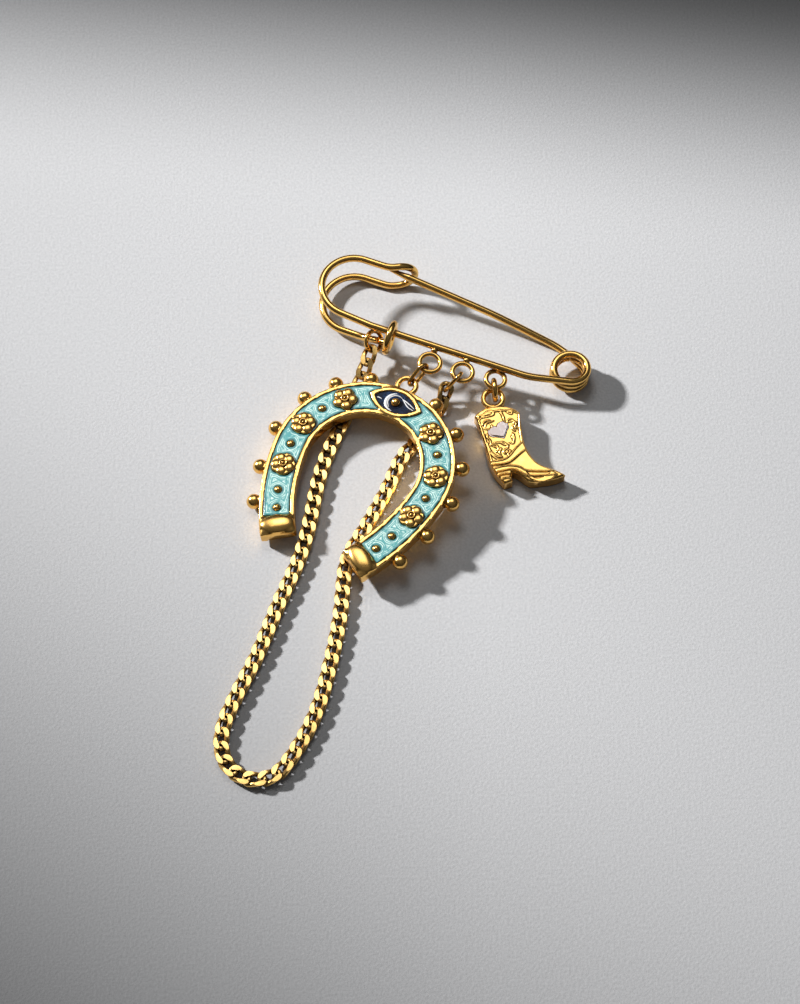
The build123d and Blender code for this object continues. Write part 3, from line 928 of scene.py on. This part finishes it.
    def cap(self) -> bpy.types.Object:
        """Models a pillow-shaped heel cap about the origin.

        Returns:
            The cap.
        """
        drop_selection()
        bpy.ops.mesh.primitive_cube_add(size=MM)
        cap = bpy.context.active_object
        bpy.ops.object.mode_set(mode="EDIT")
        bpy.ops.mesh.select_all(action="SELECT")
        bpy.ops.transform.resize(value=self.cap_size)
        bpy.ops.mesh.bevel(offset=self.cap_round * MM, segments=4, affect="EDGES")
        bpy.ops.object.mode_set(mode="OBJECT")
        drop_selection()
        bpy.ops.mesh.primitive_uv_sphere_add(
            radius=MM, segments=32, ring_count=16,
            location=(0, 0, self.cap_size[2] * self.dome_level * MM),
        )
        dome = bpy.context.active_object
        dome.scale = self.cap_dome
        bpy.ops.object.transform_apply(location=True, rotation=True, scale=True)
        return join([cap, dome], "heel_cap")

    def outline(self, enamel: bpy.types.Object) -> KDTree:
        """Samples the outlines of the enamel's face at the rims, the eye and the marks.

        Args:
            enamel: The enamel in the frame.

        Returns:
            The samples, ready to be searched.
        """
        mesh = enamel.data
        up = Vector(SHOE_SEAT.z)
        uses: dict[tuple[int, int], int] = {}
        for face in mesh.polygons:
            if face.normal.dot(up) > self.facing:
                for key in face.edge_keys:
                    uses[key] = uses.get(key, 0) + 1
        samples = []
        for (a, b), count in uses.items():
            if count == 1:
                first, second = mesh.vertices[a].co, mesh.vertices[b].co
                length = (second - first).length
                steps = max(1, math.ceil(length / (self.sample_step * MM)))
                samples += [first.lerp(second, step / steps) for step in range(steps)]
        tree = KDTree(len(samples))
        for index, sample in enumerate(samples):
            tree.insert(sample, index)
        tree.balance()
        return tree

    def glaze(self, materials: Materials) -> None:
        """Models the enamel with enough points to keep how far each lies from what it meets.

        Args:
            materials: The materials by slot.
        """
        glaze = copy_of_node("horseshoe_enamel")
        edges = self.outline(glaze)
        finish_modifier(glaze, "REMESH", mode="VOXEL", voxel_size=self.enamel_voxel * MM)
        far = glaze.data.attributes.new("outline_distance", "FLOAT", "POINT")
        distances = [edges.find(vertex.co)[2] / MM for vertex in glaze.data.vertices]
        far.data.foreach_set("value", distances)
        glaze.name = glaze.data.name = "horseshoe_glaze"
        smooth(glaze, self.smooth_angle)
        keep(glaze, Slot.TURQUOISE, materials)
        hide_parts("horseshoe_enamel")

    def arc(self, radius: float, turn_from: float, turn_to: float) -> list[Pair]:
        """Gives points of an arc about the pupil.

        Args:
            radius: The arc's radius.
            turn_from: Its start in degrees from the eye's long axis.
            turn_to: Its end in the same way.

        Returns:
            The points in the horseshoe's plane.
        """
        span = turn_to - turn_from
        shares = range(self.arc_steps + 1)
        turns = [math.radians(turn_from + span * step / self.arc_steps) for step in shares]
        return [
            (radius * math.cos(turn), self.middle_radius + radius * math.sin(turn))
            for turn in turns
        ]

    def eye_lines(self, materials: Materials) -> None:
        """Models the eye's iris and the pale crescents and corners drawn round it.

        Args:
            materials: The materials by slot.
        """
        middle = self.middle_radius
        level = self.face - self.eye_sink
        lines = [
            ridge(self.arc(*reach), Stroke(width, level, self.crescent_rise, ends))
            for reach, (width, ends) in self.crescents
        ]
        stroke = Stroke(self.corner_width, level, self.corner_rise, self.corner_ends)
        for corner in self.corners:
            lines.append(ridge([(x, middle + y) for x, y in corner], stroke))
        pale = put(join(lines, "eye_crescents"), SHOE_SEAT.matrix())
        smooth(pale)
        keep(pale, Slot.NAVY, {Slot.NAVY: Finishes().pearl.material()})
        drop_selection()
        bpy.ops.mesh.primitive_torus_add(
            major_radius=self.iris[0] * MM, minor_radius=self.iris[1] * MM,
            major_segments=40, minor_segments=8,
            location=(0, middle * MM, (self.face - self.iris_sink) * MM),
        )
        iris = bpy.context.active_object
        iris.scale = (1, 1, self.iris_flatness)
        bpy.ops.object.transform_apply(location=True, rotation=True, scale=True)
        iris.name = "eye_iris"
        put(iris, SHOE_SEAT.matrix())
        smooth(iris)
        keep(iris, Slot.NAVY, materials)

    def build(self, materials: Materials) -> None:
        """Models the casting as one piece and hides the plain one under it.

        Args:
            materials: The materials by slot.
        """
        seat = SHOE_SEAT.matrix()
        parts = [copy_of_node("horseshoe_body")]
        pattern = self.cap()
        x, y, lift = self.cap_at
        for side in (1, -1):
            place = Matrix.Translation((side * x * MM, y * MM, lift * MM))
            turn = Matrix.Rotation(math.radians(side * self.cap_turn), 4, "Z")
            parts.append(copy_at(pattern, seat @ (place @ turn)))
        remove(pattern)
        casting = join(parts, "horseshoe_casting")
        finish_modifier(casting, "REMESH", mode="VOXEL", voxel_size=self.voxel * MM)
        finish_modifier(casting, "SMOOTH", factor=0.5, iterations=3)
        smooth(casting, self.smooth_angle)
        keep(casting, Slot.CAST, materials)
        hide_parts("horseshoe_body")
        self.marks(materials)
        self.glaze(materials)
        self.eye_lines(materials)


@dataclass
class Boot:
    """The boot's casting with its raised leaf scrolls, seams and strap.

    Scrolls, borders and seams are drawn as shares of the boot's height, from the heel's corner.
    """

    height: float = 20.6
    voxel: float = 0.1
    smooth_angle: float = 50
    lift: float = 0.016
    slant: float = 0.3
    scroll: Stroke = Stroke(0.5, 0.0, 0.22, 0.6)
    seam: Stroke = Stroke(0.4, 0.08, 0.34, 0.8)
    # the dark lines of painted shade along the engraved scrolls and borders
    groove: Stroke = Stroke(0.33, 0.0, 0.13, 0.5)
    scrolls: tuple[Line, ...] = (
        (
            (-0.163, 0.871), (-0.082, 0.879), (0.002, 0.894), (-0.049, 0.915), (-0.126, 0.900),
            (-0.163, 0.871),
        ),
        ((-0.133, 0.750), (-0.112, 0.798), (-0.051, 0.807), (-0.020, 0.817)),
        ((-0.143, 0.722), (-0.084, 0.709), (-0.036, 0.737), (-0.066, 0.776)),
        ((0.072, 0.914), (0.097, 0.855), (0.098, 0.794), (0.121, 0.766)),
        ((0.144, 0.909), (0.179, 0.918), (0.213, 0.889), (0.186, 0.869), (0.144, 0.909)),
        (
            (0.121, 0.766), (0.168, 0.785), (0.221, 0.778), (0.239, 0.740), (0.206, 0.715),
            (0.226, 0.672), (0.262, 0.689),
        ),
        ((0.192, 0.615), (0.152, 0.595), (0.179, 0.538), (0.163, 0.480), (0.121, 0.512)),
        ((-0.118, 0.658), (-0.129, 0.607), (-0.094, 0.569), (-0.095, 0.519)),
        ((-0.050, 0.535), (0.019, 0.526), (0.053, 0.484), (0.110, 0.481)),
        ((-0.092, 0.499), (-0.031, 0.457), (0.024, 0.448), (-0.025, 0.405), (-0.001, 0.361)),
        ((0.064, 0.445), (0.122, 0.399), (0.066, 0.362), (0.100, 0.332)),
        ((-0.117, 0.402), (-0.074, 0.336), (-0.012, 0.293), (0.035, 0.290)),
    )
    borders: tuple[Line, ...] = (
        ((-0.194, 0.842), (-0.163, 0.626), (-0.132, 0.426), (-0.119, 0.304)),
        (
            (-0.194, 0.842), (-0.131, 0.909), (-0.033, 0.937), (0.128, 0.940), (0.232, 0.911),
            (0.285, 0.865),
        ),
        ((0.285, 0.865), (0.270, 0.732), (0.262, 0.600), (0.268, 0.490)),
    )
    seams: tuple[Line, ...] = (
        (
            (0.286, 0.494), (0.207, 0.44), (0.136, 0.358), (0.069, 0.302), (-0.016, 0.287),
            (-0.121, 0.288),
        ),
        (
            (0.312, 0.399), (0.229, 0.352), (0.135, 0.273), (0.072, 0.249), (-0.022, 0.242),
            (-0.115, 0.248),
        ),
        (
            (-0.1, 0.194), (0.0, 0.214), (0.114, 0.211), (0.214, 0.178), (0.273, 0.106),
            (0.573, 0.079),
        ),
        (
            (-0.071, 0.152), (0.025, 0.165), (0.13, 0.164), (0.194, 0.123), (0.29, 0.032),
            (0.62, 0.028),
        ),
        ((-0.06, 0.10), (0.0, 0.115), (0.05, 0.115), (0.095, 0.10)),
        ((-0.04, 0.05), (0.01, 0.062), (0.05, 0.062), (0.09, 0.05)),
    )

    def build(self, materials: Materials) -> None:
        """Models the casting as one piece and hides the plain one under it.

        Args:
            materials: The materials by slot.
        """
        seat = BOOT_SEAT.matrix()
        parts = [copy_of_node("boot_charm")]
        for points in (*self.scrolls, *self.borders):
            parts.append(put(ridge(self.drawn(points, self.lift), self.scroll), seat))
        for points in self.seams:
            parts.append(put(ridge(self.drawn(points, 0.0), self.seam), seat))
        casting = join(parts, "boot_casting")
        finish_modifier(casting, "REMESH", mode="VOXEL", voxel_size=self.voxel * MM)
        finish_modifier(casting, "SMOOTH", factor=0.5, iterations=2)
        smooth(casting, self.smooth_angle)
        keep(casting, Slot.CAST, materials)
        # dark lines of painted shade where the engraved grooves lie
        self.tarnish()
        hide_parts("boot_charm")

    def drawn(self, points: Line, lift: float) -> list[Pair]:
        """Scales a drawn line to the boot's height, moved to the side by a lift.

        Args:
            points: The line's points as shares of the height.
            lift: How far it is moved, as a share of the height.

        Returns:
            The line's points in the boot's plane.
        """
        return [
            ((x + lift) * self.height, (y - self.slant * lift) * self.height) for x, y in points
        ]

    def tarnish(self) -> None:
        """Models dark lines of painted shade that lie along the engraved lines."""
        seat = BOOT_SEAT.matrix()
        lines = []
        for points in (*self.scrolls, *self.borders):
            lines.append(put(ridge(self.drawn(points, 0.0), self.groove), seat))
        tarnish = join(lines, "boot_groove_shade")
        smooth(tarnish)
        keep(tarnish, Slot.CAST, {Slot.CAST: Finishes().tarnish.material()})


@dataclass
class Studio:
    """The surface, the lights and the camera.

    The lights' reaches and sizes are in metres and their powers in watts. A painted shade is
    light and shade painted into the surface's colour: how fast the surface brightens for each
    metre along X and along Y, and its value at the middle.
    """

    target: Point = (-1.85, 5.17, 0.0)
    distance: float = 665.0
    elevation: float = 62.5
    lens: float = 100.0
    key_from: Point = (-1.57, 0.81, 1.0)
    key_power: float = 26.5
    key_size: float = 0.085
    key_reach: float = 1.24
    fill_from: Point = (-0.12, 0.5, 0.89)
    fill_reach: float = 0.7
    fill_size: float = 0.26
    fill_power: float = 0.75
    panel_size: float = 0.52
    panel_power: float = 1.15
    room_low: Colour = (0.015, 0.014, 0.013, 1)
    room_high: Colour = (0.42, 0.42, 0.43, 1)
    room_power: float = 0.3
    surface_size: float = 3.0
    shades: tuple[Point, ...] = ((-1.84, -13.6, 2.165), (3.03, 4.67, 0.995))
    shade_start: float = -0.2
    shade_floor: float = 0.05
    drift: Pair = (2.0, 0.96)
    grain_scale: float = 1500.0
    grain: Pair = (0.25, 0.75)
    tone: Pair = (0.60, 0.72)
    surface_rough: float = 0.75
    grain_bump: float = 0.3
    grain_depth: float = 0.0002

    def surface(self) -> None:
        """Models the pale, fine-grained surface, with light and shade painted into its colour.
        """
        drop_selection()
        bpy.ops.mesh.primitive_plane_add(size=self.surface_size)
        floor = bpy.context.active_object
        floor.name = "surface"
        made = bpy.data.materials.new("surface")
        made.use_nodes = True
        tree = NodeTree(made.node_tree)
        shader = made.node_tree.nodes["Principled BSDF"]
        place = tree.add("TexCoord").outputs["Object"]
        grain = tree.noise(place, self.grain_scale, 3.0)
        where = tree.add("SeparateXYZ", {"Vector": place}).outputs
        shares = []
        # painted light and shade: each share darkens the surface on one side, away from its lit
        # middle
        for across, along, level in self.shades:
            value = tree.math("MULTIPLY_ADD", where["Y"], along, level)
            value = tree.math("MULTIPLY_ADD", where["X"], across, value)
            inputs = {"Value": value, "From Min": self.shade_start, "To Min": self.shade_floor}
            share = tree.add("MapRange", inputs, interpolation_type="SMOOTHSTEP")
            shares.append(share.outputs["Result"])
        tone = tree.scaled(grain, *self.grain, *self.tone)
        tone = tree.math("MULTIPLY", tone, tree.math("MULTIPLY", *shares))
        # painted shade: the surface darkens towards its left side
        drift = tree.math("MULTIPLY_ADD", where["X"], *self.drift, clamp=True)
        tone = tree.math("MULTIPLY", tone, drift)
        made.node_tree.links.new(tone, shader.inputs["Base Color"])
        shader.inputs["Roughness"].default_value = self.surface_rough
        bump = tree.add("Bump", {
            "Height": grain, "Strength": self.grain_bump, "Distance": self.grain_depth,
        })
        made.node_tree.links.new(bump.outputs["Normal"], shader.inputs["Normal"])
        floor.data.materials.append(made)

    def lamp(
        self, name: str, towards: Point, reach: float, size: float, power: float, tint: Point
    ) -> bpy.types.Object:
        """Adds an area light that looks at the brooch.

        Args:
            name: The light's name.
            towards: The direction it stands in.
            reach: Its distance in metres.
            size: Its side in metres.
            power: Its power in watts.
            tint: Its colour.

        Returns:
            The light.
        """
        drop_selection()
        way = Vector(towards).normalized()
        bpy.ops.object.light_add(type="AREA", location=Vector(self.target) * MM + way * reach)
        light = bpy.context.active_object
        light.name = name
        light.data.size = size
        light.data.energy = power
        light.data.color = tint
        light.rotation_euler = way.to_track_quat("Z", "Y").to_euler()
        return light

    def world(self) -> None:
        """Gives the room a soft gradient, bright above and dim along the horizon."""
        world = bpy.data.worlds.new("room")
        bpy.context.scene.world = world
        world.use_nodes = True
        tree = NodeTree(world.node_tree)
        way = tree.add("TexCoord").outputs["Generated"]
        height = tree.add("SeparateXYZ", {"Vector": way}).outputs["Z"]
        colour = tree.mix(tree.ramp(height, 0.0, 1.0), self.room_low, self.room_high)
        background = world.node_tree.nodes["Background"]
        world.node_tree.links.new(colour, background.inputs["Color"])
        background.inputs["Strength"].default_value = self.room_power

    def camera(self) -> None:
        """Sets the camera at the photograph's angle."""
        drop_selection()
        lift = math.radians(self.elevation)
        back = Vector((0, -math.cos(lift), math.sin(lift)))
        bpy.ops.object.camera_add(location=(Vector(self.target) + back * self.distance) * MM)
        camera = bpy.context.active_object
        camera.rotation_euler = (math.pi / 2 - lift, 0, 0)
        camera.data.lens = self.lens
        camera.data.sensor_width = 36.0
        camera.data.clip_start = 0.01
        camera.data.clip_end = 20.0
        bpy.context.scene.camera = camera

    def build(self) -> None:
        """Sets the whole stage."""
        self.surface()
        self.world()
        bpy.context.scene.view_settings.view_transform = "Standard"
        self.lamp(
            "key", self.key_from, self.key_reach, self.key_size, self.key_power,
            (0.985, 0.985, 1.0),
        )
        self.lamp(
            "overhead", self.fill_from, self.fill_reach, self.fill_size, self.fill_power,
            (0.96, 0.98, 1.0),
        )
        panel = self.lamp(
            "panel", self.fill_from, self.fill_reach, self.panel_size, self.panel_power,
            (1.0, 1.0, 1.0),
        )
        panel.visible_diffuse = False
        self.camera()


@dataclass
class Findings:
    """The pin, its rings and links, which keep the frame's own shapes."""

    polished: tuple[str, ...] = (
        "pin_frame", "bar_ring", "chain_ring", "horseshoe_link", "chain_link", "boot_ring",
        "pin_tongue",
    )
    others: tuple[tuple[str, Slot], ...] = (
        ("eye_enamel", Slot.NAVY), ("boot_stone", Slot.STONE),
    )

    def build(self, materials: Materials) -> None:
        """Dresses the frame's own nodes.

        Args:
            materials: The materials by slot.
        """
        for node in self.polished:
            dress(frame["nodes"][node], Slot.POLISHED, materials)
        for node, slot in self.others:
            dress(frame["nodes"][node], slot, materials)
        LOG.info("dressed %d nodes", len(self.polished) + len(self.others))


def main() -> None:
    """Builds the brooch and its stage in order."""
    logging.basicConfig(level=logging.INFO, format="%(name)s: %(message)s")
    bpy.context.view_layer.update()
    Studio().build()
    materials = Finishes().table()
    Findings().build(materials)
    for node in ("chain_right", "chain_left"):
        CurbStrand(node).build(materials)
    Horseshoe().build(materials)
    Boot().build(materials)


if __name__ == "__main__":
    main()
